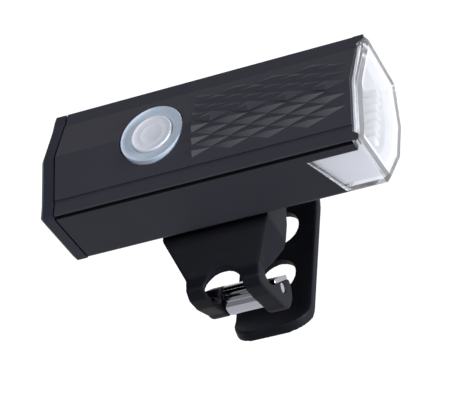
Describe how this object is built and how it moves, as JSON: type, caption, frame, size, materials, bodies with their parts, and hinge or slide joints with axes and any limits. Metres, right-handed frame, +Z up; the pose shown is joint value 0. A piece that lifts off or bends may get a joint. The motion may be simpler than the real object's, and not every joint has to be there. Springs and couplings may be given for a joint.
{
  "type": "bicycle headlight",
  "caption": "Slim rechargeable handlebar headlight with a wedge roof, round push button, wrap-round clear lens and a rubber strap mount with a chrome hook.",
  "frame": {"origin": "on the handlebar's axis, straight below the light's swivel", "axes": "+X is the way the light shines and the handlebar's axis as drawn, +Y is the side that the strap comes down on, +Z is up"},
  "size_m": [0.0785, 0.0506, 0.0595],
  "materials": {
    "housing": "fine matt grain",
    "cover": "fine matt grain",
    "cap": "fine matt grain",
    "gasket": "matt",
    "rubber": "satin moulded",
    "screw": "turned",
    "socket": "bright",
    "lens": "clear",
    "bezel": "bright pale",
    "lamp": "smooth",
    "board": "lacquered",
    "chip": "moulded",
    "sink": "plain",
    "cell": "shrink film",
    "tray": "moulded",
    "foam": "foam",
    "button": "frosted clear",
    "brass": "knurled",
    "plate": "moulded",
    "chrome": "polished"
  },
  "bodies": {
    "bracket": {"saddle": "rubber", "swivel_plate": "plate", "swivel_washer": "screw", "hook_pin": "screw", "strap_hook": "chrome"},
    "light": {"lower_housing": "housing", "upper_cover": "cover", "seam_gasket": "gasket", "rear_gasket": "gasket", "rear_cap": "cap", "rear_screws": "screw", "usb_socket": "socket", "front_lens": "lens", "bezel": "bezel", "optic": "lens", "led_emitter": "lamp", "led_board": "board", "heat_sink": "sink", "main_board": "board", "board_components": "chip", "tact_switch": "chip", "button_skirt": "button", "indicator_leds": "lamp", "battery_cell": "cell", "battery_tray": "tray", "foam_pad": "foam", "battery_tabs": "socket", "swivel_insert": "brass", "swivel_screw": "screw"},
    "button": {"button_cap": "button", "switch_plunger": "lamp"},
    "usb_cover": {"usb_cover": "rubber"},
    "strap": {"strap": "rubber"}
  },
  "joints": [
    {"name": "swivel", "type": "hinge", "parent": "bracket", "child": "light", "pos_m": [0, 0, 0.0209], "axis": [0, 0, 1], "continuous": true},
    {"name": "button_press", "type": "slide", "parent": "light", "child": "button", "axis": [0, 0, -1], "range_m": [0, 0.0005], "stiffness_N_per_m": 3000, "springref_m": -0.0002},
    {"name": "usb_cover_flap", "type": "hinge", "parent": "light", "child": "usb_cover", "pos_m": [-0.03155, 0, 0.0342], "axis": [0, -1, 0], "range_deg": [0, 100]},
    {"name": "strap_swing", "type": "hinge", "parent": "bracket", "child": "strap", "pos_m": [0, 0.0176, 0.016], "axis": [1, 0, 0], "range_deg": [0, 55]}
  ]
}
